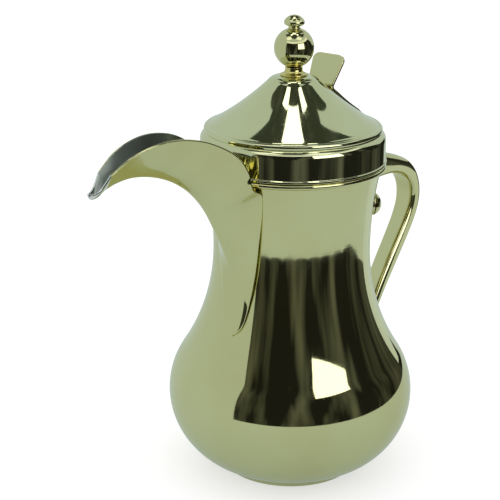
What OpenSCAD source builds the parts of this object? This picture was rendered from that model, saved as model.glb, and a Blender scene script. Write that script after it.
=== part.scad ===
// Dallah: a spun coffee pot with an open folded beak, a hinged conical lid with a
// thumb lever, and a cast strap handle. The pot stands on Z = 0 with its axis on Z.
// The spout points to -X, the handle and the lid hinge lie on +X.

/* [Body] */
// Largest outer radius, at the belly
belly_r = 75; // [74:0.5:76]
// Height of the widest ring of the belly
belly_z = 48.5; // [48:0.5:50]
// Radius of the round belly, seen from the side
belly_arc_r = 48; // [47.5:0.5:48.5]
// Smallest outer radius, at the waist of the neck
waist_r = 47.2; // [46.8:0.1:47.6]
// Height of the waist
waist_z = 142; // [140:1:143]
// Outer radius of the neck where it meets the rim ring
mouth_r = 52.5; // [52.4:0.1:52.7]
// Thickness of the spun sheet
wall = 1.2; // [1:0.1:1.3]

/* [Spout] */
// Thickness of the folded beak
spout_wall = 1.4; // [1.2:0.1:1.6]
// Diameter of each strainer hole behind the spout
strainer_d = 4.5; // [3:0.5:5]

/* [Handle] */
// Width of the cast handle strap at its upper bend
handle_w = 17; // [16:0.5:18]
// Angle of each neck rivet from the handle, around the neck
rivet_angle = 41; // [38:1:42]
// Diameter of the domed rivet heads on the neck
rivet_head_d = 13.5; // [12:0.5:14]

/* [Lid] */
// Radius of the lid's skirt
skirt_r = 54.7; // [54.5:0.1:54.9]
// Radius of the ball on the lid
ball_r = 11.7; // [11:0.1:12]
// Width of the thumb paddle at its top
paddle_w = 24.4; // [22:0.2:25]
// Diameter of the hinge pin
pin_d = 3.2; // [3:0.1:3.4]

/* [Hidden] */
$fn = 96;
eps = 0.02;            // gap that keeps two touching pieces from sharing volume
seat_z = 3;            // height at which the body shell stands on the base plate
mouth_z = 191;         // top edge of the body shell
rim_top_z = 193.3;     // top face of the rim ring
lid_z = 193.6;         // underside of the closed lid
lid_top_z = 244.4;     // flat top of the lid, under the finial
hinge_x = 62;
hinge_z = 194;
knuckle_r = 4;
lever_w = 13;          // width of the lid lever at its hinge knuckle
steel = [0.66, 0.66, 0.64];
gold = [0.80, 0.74, 0.45];

// ---- curves ---------------------------------------------------------------------------

function arc(c, r, a0, a1, n) =
    [for (i = [0:n]) let (a = a0 + (a1 - a0) * i / n) [c[0] + r * cos(a), c[1] + r * sin(a)]];

// One point of a Catmull-Rom spline through the rows of p, where u runs from 0 to len(p) - 1.
function spline_at(p, u) =
    let (n = len(p) - 1, i = min(floor(u), n - 1), t = u - i,
         b = p[i], c = p[i + 1],
         a = i > 0 ? p[i - 1] : 2 * b - c,
         d = i < n - 1 ? p[i + 2] : 2 * c - b)
    0.5 * (2 * b + (c - a) * t + (2 * a - 5 * b + 4 * c - d) * t * t
           + (3 * b - a - 3 * c + d) * t * t * t);

function unit(v) = v / norm(v);

// ---- the body's outline ---------------------------------------------------------------
// Three arcs that run into each other: the belly, the hollow waist below its narrowest
// ring, and the flatter flare from there to the mouth.

belly_c = [belly_r - belly_arc_r, belly_z];
waist_dx = waist_r - belly_c[0];
waist_dz = waist_z - belly_z;
waist_arc_r = (waist_dx * waist_dx + waist_dz * waist_dz - belly_arc_r * belly_arc_r)
              / (2 * (belly_arc_r - waist_dx));
waist_c = [waist_r + waist_arc_r, waist_z];
blend_a = atan2(waist_z - belly_z, waist_c[0] - belly_c[0]);
blend_z = belly_c[1] + belly_arc_r * sin(blend_a);
flare_dz = mouth_z - waist_z;
flare_dx = mouth_r - waist_r;
flare_arc_r = (flare_dz * flare_dz + flare_dx * flare_dx) / (2 * flare_dx);
flare_c = [waist_r + flare_arc_r, waist_z];

// Outer radius of the body at height z.
function body_r(z) =
    z < blend_z ? belly_c[0] + sqrt(pow(belly_arc_r, 2) - pow(z - belly_c[1], 2))
    : z < waist_z ? waist_c[0] - sqrt(pow(waist_arc_r, 2) - pow(z - waist_z, 2))
    : flare_c[0] - sqrt(pow(flare_arc_r, 2) - pow(z - waist_z, 2));

// The same outline moved outwards by d, from height z0 to height z1.
function body_line(d, z0, z1) =
    let (belly_a0 = asin(max(-1, (max(z0, seat_z) - belly_z) / (belly_arc_r + d))),
         flare_a1 = asin((z1 - waist_z) / (flare_arc_r - d)))
    concat(arc(belly_c, belly_arc_r + d, belly_a0, blend_a, 26),
           arc(waist_c, waist_arc_r - d, blend_a + 180, 180, 14),
           [for (p = arc(flare_c, flare_arc_r - d, 180, 180 - flare_a1, 8)) if (p[1] > waist_z + 1) p]);

// The body's outside as a solid that has been grown by d, used as a cutter.
module body_solid(d) {
    line = body_line(d, seat_z, mouth_z);
    rotate_extrude() polygon(concat([[0, line[0][1]]], line, [[0, line[len(line) - 1][1]]]));
}

// A band of the sheet-like layer between d0 and d1 outside the body, from z0 to z1.
module body_band(d0, d1, z0, z1, steps = 8) {
    inner = [for (i = [0:steps]) let (z = z0 + (z1 - z0) * i / steps) [body_r(z) + d0, z]];
    outer = [for (i = [steps:-1:0]) let (z = z0 + (z1 - z0) * i / steps) [body_r(z) + d1, z]];
    rotate_extrude() polygon(concat(inner, outer));
}

// ---- pot ------------------------------------------------------------------------------

foot_r = 42.8;         // outer radius of the base plate
groove_r = 34.5;       // middle of the groove turned into the underside
groove_w = 3;
groove_depth = 0.7;

module base_plate() {
    round_r = 1.2;
    outline = concat([[0, 0], [groove_r - groove_w / 2, 0], [groove_r - groove_w / 4, groove_depth],
                      [groove_r + groove_w / 4, groove_depth], [groove_r + groove_w / 2, 0]],
                     arc([foot_r - round_r, round_r], round_r, -90, 0, 6),
                     [[foot_r, seat_z], [0, seat_z]]);
    color(gold) rotate_extrude() polygon(outline);
}

strainer_rows = 4;
strainer_pitch = 8;
strainer_z = 150;      // height of the lowest row of strainer holes

module strainer_holes() {
    for (row = [0:strainer_rows - 1])
        let (holes = 3 + row % 2)
            for (i = [0:holes - 1])
                translate([-waist_r - 8, (i - (holes - 1) / 2) * strainer_pitch,
                           strainer_z + row * strainer_pitch])
                    rotate([0, 90, 0]) cylinder(h = 16, d = strainer_d, $fn = 32);
}

module body_shell() {
    outer = body_line(0, seat_z, mouth_z);
    inner = body_line(-wall, seat_z, mouth_z);
    last = len(inner) - 1;
    color(gold) difference() {
        rotate_extrude() polygon(concat(outer, [for (i = [last:-1:0]) inner[i]]));
        strainer_holes();
        neck_rivet_places() rivet_bore();
        foot_rivet_places() rivet_bore();
    }
}

rim_bead_r = 1.65;     // radius of the rolled bead
rim_r = 55.2;          // outer radius of the bead

module rim_ring() {
    bead_c = [rim_r - rim_bead_r, rim_top_z - rim_bead_r];
    color(gold) rotate_extrude() difference() {
        union() {
            translate(bead_c) circle(r = rim_bead_r, $fn = 32);
            translate([mouth_r - wall, mouth_z]) square([2, rim_top_z - mouth_z]);
        }
        translate([0, mouth_z - 10]) square([mouth_r + eps, 10]);
    }
}

// ---- spout ----------------------------------------------------------------------------
// Each row is one fold line of the beak: the keel's reach and height, the edge's reach and
// height, and the edge's half width. A reach of 0 puts the edge on the body's own surface.

SPOUT = [
    [56.4,  98.5,    0,  98.8,  2.5],
    [54.9, 104.0,    0, 105.0,  8.5],
    [52.3, 120.0,    0, 123.0, 11.8],
    [53.6, 137.0,    0, 143.0, 14.6],
    [60.0, 152.0,    0, 165.0, 17.0],
    [68.0, 166.5,    0, 184.5, 19.0],
    [74.5, 177.5, 55.6, 190.5, 19.4],
    [82.0, 186.5, 58.6, 200.5, 19.0],
    [90.5, 194.0, 65.5, 210.5, 17.8],
    [100.0, 200.2, 76.5, 218.0, 15.8],
    [110.5, 204.8, 90.0, 223.8, 13.6],
    [121.5, 207.8, 106.0, 227.0, 11.8],
    [132.0, 209.0, 121.0, 226.6, 10.0],
    [142.0, 208.2, 136.0, 222.7,  8.0],
    [149.0, 206.4, 149.0, 215.3,  5.7]];
spout_steps = 4;       // stations between two rows
fold_points = 9;       // points from the keel to each edge
fold_round = 0.22;     // roundness of the keel, as a share of the half width
apron_end = 2;         // up to this row the sheet lies on the neck as a low apron
beak_start = 5;        // from this row on it is a keeled beak
edge_open = 0.03;      // keeps the apron's sides from standing quite upright

// The sheet's height over the keel, and its slope, at v half widths from the middle.
function keeled(v) = (sqrt(v * v + fold_round * fold_round) - fold_round)
                     / (sqrt(1 + fold_round * fold_round) - fold_round);
function keeled_slope(v) = v / sqrt(v * v + fold_round * fold_round)
                           / (sqrt(1 + fold_round * fold_round) - fold_round);
function flat(v) = (1 - pow(1 - (1 - edge_open) * pow(v, 4), 0.25)) / (1 - pow(edge_open, 0.25));
function flat_slope(v) = (1 - edge_open) * pow(v, 3) * pow(1 - (1 - edge_open) * pow(v, 4), -0.75)
                         / (1 - pow(edge_open, 0.25));
function keel_share(u) =
    let (t = max(0, min(1, (u - apron_end) / (beak_start - apron_end)))) t * t * (3 - 2 * t);
function fold(v, k) = k * keeled(v) + (1 - k) * flat(v);
function fold_slope(v, k) = k * keeled_slope(v) + (1 - k) * flat_slope(v);

// Keeps a point outside the body, so that the apron's seam follows the neck.
function outside(p) =
    let (r = norm([p[0], p[1]]), low = (p[2] < mouth_z ? body_r(p[2]) : mouth_r) + 2 * eps)
    r < low ? [p[0] * low / r, p[1] * low / r, p[2]] : p;

// The keel and edge of one station, with the edge's reach worked out on the body.
function spout_row(u) =
    let (s = spline_at(SPOUT, u), on_body = u <= 5,
         seam = sqrt(max(0, pow(body_r(min(s[3], mouth_z)), 2) - s[4] * s[4])),
         a = spline_at([for (row = SPOUT)
             [row[2] == 0 ? sqrt(pow(body_r(row[3]), 2) - row[4] * row[4]) : row[2]]], u)[0])
    [s[0], s[1], on_body ? seam : a, s[3], s[4], keel_share(u)];

// One U-shaped section: its outer line, then its inner line backwards.
function fold_section(row, t) =
    let (keel = [-row[0], row[1]], edge = [-row[2], row[3]], w = row[4], share = row[5],
         depth = norm(edge - keel), up = (edge - keel) / depth,
         vs = [for (i = [-fold_points:fold_points]) sin(90 * i / fold_points)],
         outer = [for (v = vs) let (h = depth * fold(v, share))
                  [keel[0] + up[0] * h, w * v, keel[1] + up[1] * h]],
         inner = [for (k = [len(vs) - 1:-1:0])
                  let (v = vs[k], slope = depth * fold_slope(v, share), n = norm([w, slope]),
                       y = w * v - t * slope / n, h = depth * fold(v, share) + t * w / n)
                  [keel[0] + up[0] * h, y, keel[1] + up[1] * h]])
    [for (p = concat(outer, inner)) outside(p)];

// Joins sections of equal length into one closed solid.
module loft(sections) {
    n = len(sections[0]);
    m = len(sections);
    half = n / 2;
    points = [for (s = sections) for (p = s) p];
    sides = [for (j = [0:m - 2]) for (i = [0:n - 1])
             let (k = (i + 1) % n)
             for (f = [[j * n + i, j * n + k, (j + 1) * n + k], [j * n + i, (j + 1) * n + k, (j + 1) * n + i]])
                 f];
    first = [for (i = [0:half - 2]) for (f = [[i, n - 1 - i, i + 1], [i + 1, n - 1 - i, n - 2 - i]]) f];
    last = [for (f = first) [for (i = [2:-1:0]) f[i] + (m - 1) * n]];
    polyhedron(points = points, faces = concat(sides, first, last), convexity = 6);
}

module spout() {
    stations = (len(SPOUT) - 1) * spout_steps;
    color(gold) loft([for (i = [0:stations]) fold_section(spout_row(i / spout_steps), spout_wall)]);
}

tip_reach = 160.6;     // reach of the very end of the beak
tip_drop = 5.4;        // how far the nose's underside falls, before its rounding lifts it again
tip_lift = 5.4;
tip_fall = 10.9;       // how fast the nose's edge falls, and how soon it levels out
tip_level = 3.2;
tip_narrow = 0.66;     // how fast the nose narrows, and how soon that eases
tip_ease = 0.22;
pit_end = 0.6;         // share of the nose's length that is open, before it is filled in
tip_steps = 10;

// The nose: the last section, carried on, narrowed, and rounded off and filled in at the front.
function tip_section(s) =
    let (last = SPOUT[len(SPOUT) - 1], start = last[0] + eps, x = start + (tip_reach - start) * s,
         round = sqrt(max(0.01, 1 - pow(s, 4))), w = last[4] * (1 - tip_narrow * s + tip_ease * s * s) * round,
         keel_z = last[1] - tip_drop * s + (1 - round) * tip_lift,
         edge_z = last[3] - tip_fall * s + tip_level * s * s,
         depth = edge_z - keel_z, fill = max(0, min(1, (s - pit_end) / 0.3)), share = max(0, 1 - 2 * s),
         vs = [for (i = [-fold_points:fold_points]) sin(90 * i / fold_points)],
         bowl = function(v) share * keeled(v) + (1 - share) * (1 - sqrt(1 - 0.98 * v * v)))
    concat([for (v = vs) [-x, w * v, keel_z + depth * bowl(v)]],
           [for (k = [len(vs) - 1:-1:0])
            let (v = vs[k], top = edge_z - 0.1, floor_z = min(top, keel_z + depth * bowl(v) + spout_wall))
            [-x, w * 0.74 * v, floor_z + (top - floor_z) * fill]]);

module spout_tip() {
    color(steel) loft([for (i = [0:tip_steps]) tip_section(i / tip_steps)]);
}

// ---- handle ---------------------------------------------------------------------------
// Each row is a place on the strap's middle line, seen from the side, and its thickness.

HANDLE = [
    [49.0, 177.6, 20.5],
    [62.0, 176.9, 19.4],
    [74.0, 176.2, 17.4],
    [86.0, 175.0, 14.8],
    [98.0, 172.7, 12.2],
    [108.5, 168.5, 10.2],
    [115.6, 161.5,  9.0],
    [119.2, 152.0,  8.7],
    [118.6, 142.0,  8.7],
    [114.2, 132.0,  9.0],
    [107.0, 121.0,  9.2],
    [97.0, 107.0,  9.0],
    [86.5,  92.0,  7.8],
    [78.0,  78.0,  6.6],
    [73.5,  66.0,  6.2]];
handle_steps = 4;
handle_low_w = 13.5;   // width of the strap at its lower end
corner_r = 2.9;        // rounding of the strap's edges at its root
corner_share = 0.47;   // the same on the bend and below it, as a share of the strap's thickness
corner_points = 4;     // segments of each rounded edge

// The strap's width: even over the upper bend, then tapering to the foot.
function strap_w(u) = let (t = max(0, (u - 6) / (len(HANDLE) - 7))) handle_w + (handle_low_w - handle_w) * t;

// The rounding of its edges, which grows between the root and the bend.
function strap_corner(u, thick) =
    let (t = max(0, min(1, (u - 1.5) / 2.5))) corner_r + (corner_share * thick - corner_r) * t;

function strap_section(u) =
    let (p = spline_at(HANDLE, u), q = spline_at(HANDLE, min(u + 0.02, len(HANDLE) - 1)),
         o = spline_at(HANDLE, max(u - 0.02, 0)), along = unit([q[0] - o[0], q[1] - o[1]]),
         out = [-along[1], along[0]], r = strap_corner(u, p[2]), a = p[2] / 2 - r, b = strap_w(u) / 2 - r)
    [for (c = [[1, 1], [-1, 1], [-1, -1], [1, -1]], i = [0:corner_points])
     let (k = c[0] * c[1] > 0 ? i : corner_points - i, t = 90 * k / corner_points,
          h = c[0] * (a + r * cos(t)), y = c[1] * (b + r * sin(t)))
     [p[0] + out[0] * h, y, p[1] + out[1] * h]];

// A closed tube through sections whose ends are convex.
module tube(sections) {
    n = len(sections[0]);
    m = len(sections);
    points = [for (s = sections) for (p = s) p];
    sides = [for (j = [0:m - 2]) for (i = [0:n - 1])
             let (k = (i + 1) % n)
             for (f = [[j * n + i, (j + 1) * n + k, j * n + k], [j * n + i, (j + 1) * n + i, (j + 1) * n + k]])
                 f];
    ends = [[for (i = [0:n - 1]) i], [for (i = [n - 1:-1:0]) (m - 1) * n + i]];
    polyhedron(points = points, faces = concat(sides, ends), convexity = 6);
}

saddle_t = 1.6;        // thickness of the saddle strap on the neck
saddle_z = 165;        // height of the saddle's middle and of its rivets
saddle_h = 13.5;
foot_t = 3;            // thickness of the handle's foot plate
foot_z = 55;           // height of the foot plate's middle
foot_w = 17;
foot_h = 42;
foot_rivet_z = [40, 52];
bracket_z = 187;       // top of the handle's root, where the hinge bracket sits

module handle() {
    stations = (len(HANDLE) - 1) * handle_steps;
    color(gold) difference() {
        tube([for (i = [0:stations]) strap_section(i / handle_steps)]);
        body_solid(eps);
        body_band(-3, saddle_t + eps, saddle_z - saddle_h / 2 - eps, saddle_z + saddle_h / 2 + eps);
        body_band(-9, foot_t + eps, foot_z - foot_h / 2 - 2, foot_z + foot_h / 2 + 2, 14);
        translate([40, -handle_w, bracket_z - 1]) cube([28, 2 * handle_w, 20]);
    }
}

// The leaf-shaped plate under the handle's lower end, bent to the belly.
module handle_foot() {
    color(gold) difference() {
        intersection() {
            body_band(eps, foot_t, foot_z - foot_h / 2, foot_z + foot_h / 2, 14);
            translate([40, 0, foot_z]) rotate([90, 0, 90]) linear_extrude(60) union() {
                square([foot_w, foot_h - foot_w], center = true);
                for (s = [-1, 1]) translate([0, s * (foot_h - foot_w) / 2]) circle(d = foot_w, $fn = 48);
            }
        }
        foot_rivet_places() rivet_bore();
    }
}

// The curved strap that carries the handle's upper end around the neck.
module neck_saddle() {
    end_angle = rivet_angle + asin(saddle_h / 2 / waist_r);
    color(gold) difference() {
        intersection() {
            body_band(eps, saddle_t, saddle_z - saddle_h / 2, saddle_z + saddle_h / 2);
            union() {
                for (s = [-1, 1]) rotate([0, 0, s * rivet_angle]) translate([0, 0, saddle_z])
                    rotate([0, 90, 0]) cylinder(h = 70, d = saddle_h, $fn = 48);
                translate([0, 0, saddle_z - saddle_h / 2]) linear_extrude(saddle_h)
                    polygon([[0, 0],
                             for (i = [-4:4]) 80 * [cos(i * rivet_angle / 4), sin(i * rivet_angle / 4)]]);
            }
        }
        neck_rivet_places() rivet_bore();
    }
}

rivet_d = 5;
inner_head_d = 7.2;
washer_d = 9;
washer_t = 1.2;

// A rivet's own frame has its zero on the body's outside and +Z square to it, outwards.
module neck_rivet_places() {
    for (s = [-1, 1]) rotate([0, 0, s * rivet_angle]) translate([body_r(saddle_z), 0, saddle_z])
        rotate([0, 90 + asin((saddle_z - waist_z) / flare_arc_r), 0]) children();
}

module foot_rivet_places() {
    for (z = foot_rivet_z) translate([body_r(z), 0, z])
        rotate([0, 90 - asin((z - belly_c[1]) / belly_arc_r), 0]) children();
}

module rivet_bore() {
    cylinder(h = 24, d = rivet_d + 2 * eps, center = true, $fn = 48);
}

// A rivet: a domed head on seat, a shank, and a closing head behind a washer at back.
module rivet(seat, head_d, head_h, back) {
    dome_r = (head_d * head_d / 4 + head_h * head_h) / (2 * head_h);
    cylinder_h = seat - back + 0.2;
    translate([0, 0, back - 0.1]) cylinder(h = cylinder_h, d = rivet_d, $fn = 48);
    intersection() {
        translate([0, 0, seat + head_h - dome_r]) sphere(r = dome_r, $fn = 96);
        translate([0, 0, seat]) cylinder(h = head_h + 1, d = head_d, $fn = 96);
    }
    translate([0, 0, back - 1.4]) cylinder(h = 1.4, d = inner_head_d, $fn = 48);
}

seat_gap = 0.15;       // a flat rivet head stands this far off the curved plate
washer_gap = 0.4;      // a flat washer stands this far off the curved wall
rivet_back = -wall - washer_t - washer_gap;

module neck_rivets() {
    color(gold) neck_rivet_places() rivet(saddle_t + seat_gap, rivet_head_d, 4.2, rivet_back);
}

module foot_rivets() {
    color(gold) foot_rivet_places() rivet(foot_t + seat_gap, 8.5, 2.2, rivet_back);
}

module washer() {
    translate([0, 0, rivet_back + eps]) difference() {
        cylinder(h = washer_t, d = washer_d, $fn = 48);
        translate([0, 0, -1]) cylinder(h = washer_t + 2, d = rivet_d + 2 * eps, $fn = 48);
    }
}

module neck_washers() {
    color(steel) neck_rivet_places() washer();
}

module foot_washers() {
    color(steel) foot_rivet_places() washer();
}

// ---- hinge ----------------------------------------------------------------------------

ear_gap = 0.3;         // play between the lever's knuckle and each ear
ear_t = 3.4;
pad_t = 2.2;
pin_play = 0.05;       // radial clearance of the pin in the lever's knuckle

module hinge_bracket() {
    pad_x0 = 55.6;
    outer_w = lever_w + 2 * (ear_gap + ear_t);
    color(gold) difference() {
        union() {
            translate([pad_x0, -outer_w / 2, bracket_z - 1 + eps]) cube([10.2, outer_w, pad_t]);
            for (s = [-1, 1]) translate([0, s * (lever_w / 2 + ear_gap + ear_t / 2), 0]) ear();
        }
        translate([hinge_x, 0, hinge_z]) rotate([90, 0, 0])
            cylinder(h = 60, d = pin_d + 2 * eps, center = true, $fn = 48);
    }
}

module ear() {
    translate([hinge_x, 0, hinge_z]) rotate([90, 0, 0]) cylinder(h = ear_t, r = knuckle_r, center = true);
    translate([hinge_x - knuckle_r, -ear_t / 2, bracket_z - 1 + eps])
        cube([2 * knuckle_r, ear_t, hinge_z - bracket_z + 1]);
}

module hinge_pin() {
    head_d = 5.6;
    head_t = 1.4;
    length = lever_w + 2 * (ear_gap + ear_t) + 2 * eps;
    color(steel) translate([hinge_x, 0, hinge_z]) rotate([90, 0, 0]) {
        cylinder(h = length, d = pin_d, center = true, $fn = 48);
        for (s = [-1, 1]) translate([0, 0, s * (length + head_t) / 2])
            cylinder(h = head_t, d = head_d, center = true, $fn = 48);
    }
}

// ---- lid ------------------------------------------------------------------------------

lip_r = 55.4;
lip_h = 1.9;
lid_t = 1.2;
cone_r = 49.3;         // where the hollow cone starts, inside the bead
cone_z = 216;
crown_r = 15.5;        // where the cone meets the rounded crown
crown_z = 241.2;
crown_flat_r = 8.6;
crown_bulge = 1.0;     // how far the crown rounds above a straight line
cone_sag = 1.3;        // how far the cone hollows below a straight line

// An arc from a to b that hollows by sag to the left of its direction.
function sagged(a, b, sag, n) =
    let (chord = norm(b - a), r = (chord * chord / 4 + sag * sag) / (2 * sag), dir = unit(b - a),
         side = [dir[1], -dir[0]], mid = (a + b) / 2, c = mid + side * (r - sag),
         a0 = atan2(a[1] - c[1], a[0] - c[0]), a1 = atan2(b[1] - c[1], b[0] - c[0]))
    arc(c, r, a0, a1, n);

// A point of the crown's rounding, from the cone's end at t = 0 to the flat top at t = 1.
function crown_point(t) =
    let (a = [crown_r, crown_z], b = [crown_flat_r, lid_top_z], d = unit(b - a))
    a + (b - a) * t + [-d[1], d[0]] * (-4 * crown_bulge * t * (1 - t));

bead_c = [50.7, 213.7];
bead_r = 1.8;
shoulder_c = [49.7, 207.4];
shoulder_r = 5;

// The lid's outer line from the skirt's foot to the crown.
LID_LINE = concat(
    [[lip_r, lid_z + 0.4], [lip_r, lid_z + lip_h - 0.5], [skirt_r, lid_z + lip_h]],
    arc(shoulder_c, shoulder_r, 0, 58, 8),
    [[bead_c[0] + 1.25, bead_c[1] - 1.75]],
    arc(bead_c, bead_r, -20, 100, 8),
    [[cone_r + 0.6, cone_z - 0.5]],
    sagged([cone_r, cone_z], [crown_r, crown_z], cone_sag, 18),
    [for (i = [1:8]) crown_point(i / 8)]);

module lid_solid(grow) {
    line = [for (p = LID_LINE) [p[0] + grow * 0.6, p[1] + grow * 0.8]];
    rotate_extrude() polygon(concat([[0, lid_z]], [[lip_r - 0.4 + grow * 0.6, lid_z]], line,
                                    [[0, lid_top_z + grow * 0.8]]));
}

liner_flange_z = 196.6;
liner_r = 50.2;
liner_t = 1;

module lid_shell() {
    inner_r = skirt_r - lid_t;
    cone_in = sagged([cone_r - 0.75, cone_z - 0.95], [crown_r - 0.6, crown_z - 1], cone_sag, 18);
    color(gold) difference() {
        lid_solid(0);
        rotate_extrude() polygon(concat([[0, lid_z - 1], [inner_r, lid_z - 1], [inner_r, shoulder_c[1]]],
                                        arc([inner_r - 4, shoulder_c[1]], 4, 0, 50, 6), cone_in,
                                        [for (i = [2:2:8]) crown_point(i / 8) - [0.6, lid_t]],
                                        [[0, lid_top_z - lid_t]]));
        translate([0, 0, lid_top_z - 10]) cylinder(h = 20, d = stud_d + 2 * eps, $fn = 48);
        lever_rivet_places() cylinder(h = 12, d = lever_rivet_d + 2 * eps, center = true, $fn = 32);
    }
}

module lid_liner() {
    inner_r = skirt_r - lid_t - eps;
    color(steel) rotate_extrude() polygon([
        [liner_r - liner_t, 187.4], [liner_r - 0.3, 186.8], [liner_r, 187.4],
        [liner_r, liner_flange_z - liner_t], [inner_r, liner_flange_z - liner_t],
        [inner_r, liner_flange_z], [liner_r - liner_t, liner_flange_z]]);
}

// ---- lid lever ------------------------------------------------------------------------

lever_h = 2.3;         // height of the strap's top above the lid's cone
lever_strap_w = 19;    // width of the strap on the cone
lever_slope = 36.7;    // of the cone, from its lower end to the crown
lever_start = [24.9, 235.0];
paddle_lean = 27.5;    // from upright, towards the handle
paddle_h = 19.4;
paddle_t = 2.1;
lever_rivet_d = 3;
lever_rivet_x = [33, 41];
lever_rivet_grip = 4;

// The cone's line moved outwards by d, from its lower end to the crown.
function cone_line(d) =
    let (up = d * [sin(lever_slope), cos(lever_slope)])
    sagged([cone_r, cone_z] + up, [crown_r, crown_z] + up, cone_sag, 16);

// The strap's side view: along the cone, over the shoulder and down to the knuckle.
module lever_outline() {
    down_x = hinge_x + knuckle_r;
    bend_c = [down_x - 9.6, 203.6];
    top = [for (p = cone_line(lever_h)) if (p[0] > lever_start[0] + 1) p];
    polygon(concat([[down_x - 3.4, hinge_z], [down_x, hinge_z]], arc(bend_c, 9.6, 0, 62, 8), top,
                   [lever_start, lever_start + [-1.6, -0.6], lever_start + [-2.2, -5],
                    [48.0, 212.0], [54.4, 209.2]],
                   arc(bend_c, 5.8, 50, 0, 6)));
}

// The strap seen from above: wide on the cone, narrow at the knuckle.
module lever_plan() {
    w = lever_strap_w / 2;
    k = lever_w / 2;
    polygon([[20, -w], [50, -w], [60, -k], [70, -k], [70, k], [60, k], [50, w], [20, w]]);
}

module paddle_outline() {
    r = 4.6;
    w = paddle_w / 2;
    foot_w = lever_strap_w - 0.2;
    hull() {
        for (s = [-1, 1]) translate([s * (w - r), paddle_h - r]) circle(r = r, $fn = 32);
        translate([-foot_w / 2, -1]) square([foot_w, 1]);
    }
}

module lid_lever() {
    color(gold) difference() {
        union() {
            intersection() {
                rotate([90, 0, 0]) linear_extrude(40, center = true) lever_outline();
                translate([0, 0, hinge_z - 1]) linear_extrude(60) lever_plan();
            }
            translate([lever_start[0], 0, lever_start[1]]) rotate([0, paddle_lean, 0])
                rotate([90, 0, 90]) linear_extrude(paddle_t, center = true) paddle_outline();
            translate([hinge_x, 0, hinge_z]) rotate([90, 0, 0])
                cylinder(h = lever_w, r = knuckle_r, center = true);
        }
        lid_solid(2 * eps);
        translate([hinge_x, 0, hinge_z]) rotate([90, 0, 0])
            cylinder(h = 60, d = pin_d + 2 * pin_play, center = true, $fn = 48);
        lever_rivet_places() cylinder(h = 12, d = lever_rivet_d + 2 * eps, center = true, $fn = 32);
    }
}

// Places on the strap's top face, square to it.
module lever_rivet_places() {
    up = [cone_z - crown_z, cone_r - crown_r] / norm([cone_r - crown_r, cone_z - crown_z]);
    chord_z = function(x) cone_z + (crown_z - cone_z) * (cone_r - x) / (cone_r - crown_r);
    for (x = lever_rivet_x)
        let (q = (cone_r - x) / (cone_r - crown_r), sag = 4 * cone_sag * q * (1 - q))
            translate([x - up[0] * (lever_h - sag), 0, chord_z(x) + up[1] * (lever_h - sag)])
                rotate([0, lever_slope, 0]) children();
}

module lever_rivets() {
    head_d = 5.4;
    head_h = 1.3;
    dome_r = (head_d * head_d / 4 + head_h * head_h) / (2 * head_h);
    head_z = 0.2;
    color(gold) lever_rivet_places() {
        translate([0, 0, -lever_rivet_grip]) cylinder(h = lever_rivet_grip + 0.3, d = lever_rivet_d, $fn = 32);
        intersection() {
            translate([0, 0, head_z + head_h - dome_r]) sphere(r = dome_r, $fn = 64);
            translate([0, 0, head_z]) cylinder(h = head_h + 1, d = head_d, $fn = 48);
        }
        translate([0, 0, -lever_rivet_grip - 0.8]) cylinder(h = 0.9, d = 4.6, $fn = 32);
    }
}

// ---- finial ---------------------------------------------------------------------------

stud_d = 4;
collar_z = lid_top_z + eps;
ball_z = 260.5;
ball_low = 249.4;      // flat under the ball, where the collar ends
ball_high = 271.2;     // flat on the ball, where the button's collar stands
button_top_z = 279.4;
stud_z = 236.8;
stud_end_z = 275.2;

module stud_bore(z0, z1) {
    translate([0, 0, z0]) cylinder(h = z1 - z0, d = stud_d + 2 * eps, $fn = 48);
}

module finial_collar() {
    color(gold) difference() {
        rotate_extrude() polygon(concat([[0, collar_z]], arc([7.55, collar_z + 0.55], 0.55, -90, 70, 6),
                                        arc([8.0, collar_z + 3.8], 2.85, 262, 180, 8),
                                        [[5.1, ball_low], [0, ball_low]]));
        stud_bore(collar_z - 1, ball_low + 1);
    }
}

module finial_ball() {
    color(gold) difference() {
        intersection() {
            translate([0, 0, ball_z]) sphere(r = ball_r, $fn = 96);
            translate([-20, -20, ball_low + eps]) cube([40, 40, ball_high - ball_low - 2 * eps]);
        }
        stud_bore(ball_low - 5, ball_high + 5);
    }
}

module finial_button() {
    cap_r = 6.8;
    color(gold) difference() {
        rotate_extrude() polygon(concat([[0, ball_high]], arc([3.2, ball_high + 0.5], 0.5, -90, 90, 6),
                                        [[3.1, 272.6]], arc([4.2, 275.1], 1.85, -75, 35, 8),
                                        arc([0, button_top_z - cap_r], cap_r, 36, 90, 10)));
        stud_bore(ball_high - 1, stud_end_z + 0.3);
    }
}

module finial_stud() {
    color(steel) translate([0, 0, stud_z]) cylinder(h = stud_end_z - stud_z, d = stud_d, $fn = 48);
}

module finial_washer() {
    color(steel) difference() {
        translate([0, 0, lid_top_z - lid_t - eps - 1]) cylinder(h = 1, d = 10, $fn = 48);
        stud_bore(230, 250);
    }
}

module finial_nut() {
    nut_h = 3.2;
    color(steel) difference() {
        translate([0, 0, lid_top_z - lid_t - 1 - 2 * eps - nut_h]) cylinder(h = nut_h, d = 8.1, $fn = 6);
        stud_bore(230, 250);
    }
}

base_plate();
body_shell();
rim_ring();
spout();
spout_tip();
handle();
handle_foot();
foot_rivets();
foot_washers();
neck_saddle();
neck_rivets();
neck_washers();
hinge_bracket();
hinge_pin();
lid_shell();
lid_liner();
lid_lever();
lever_rivets();
finial_collar();
finial_ball();
finial_button();
finial_stud();
finial_washer();
finial_nut();
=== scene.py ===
"""A polished dallah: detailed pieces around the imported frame, with a studio camera and floor."""

from math import acos, asin, atan2, cos, degrees, hypot, pi, radians, sin, sqrt, tan

import bmesh
import bpy
from mathutils import Matrix, Vector


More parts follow.
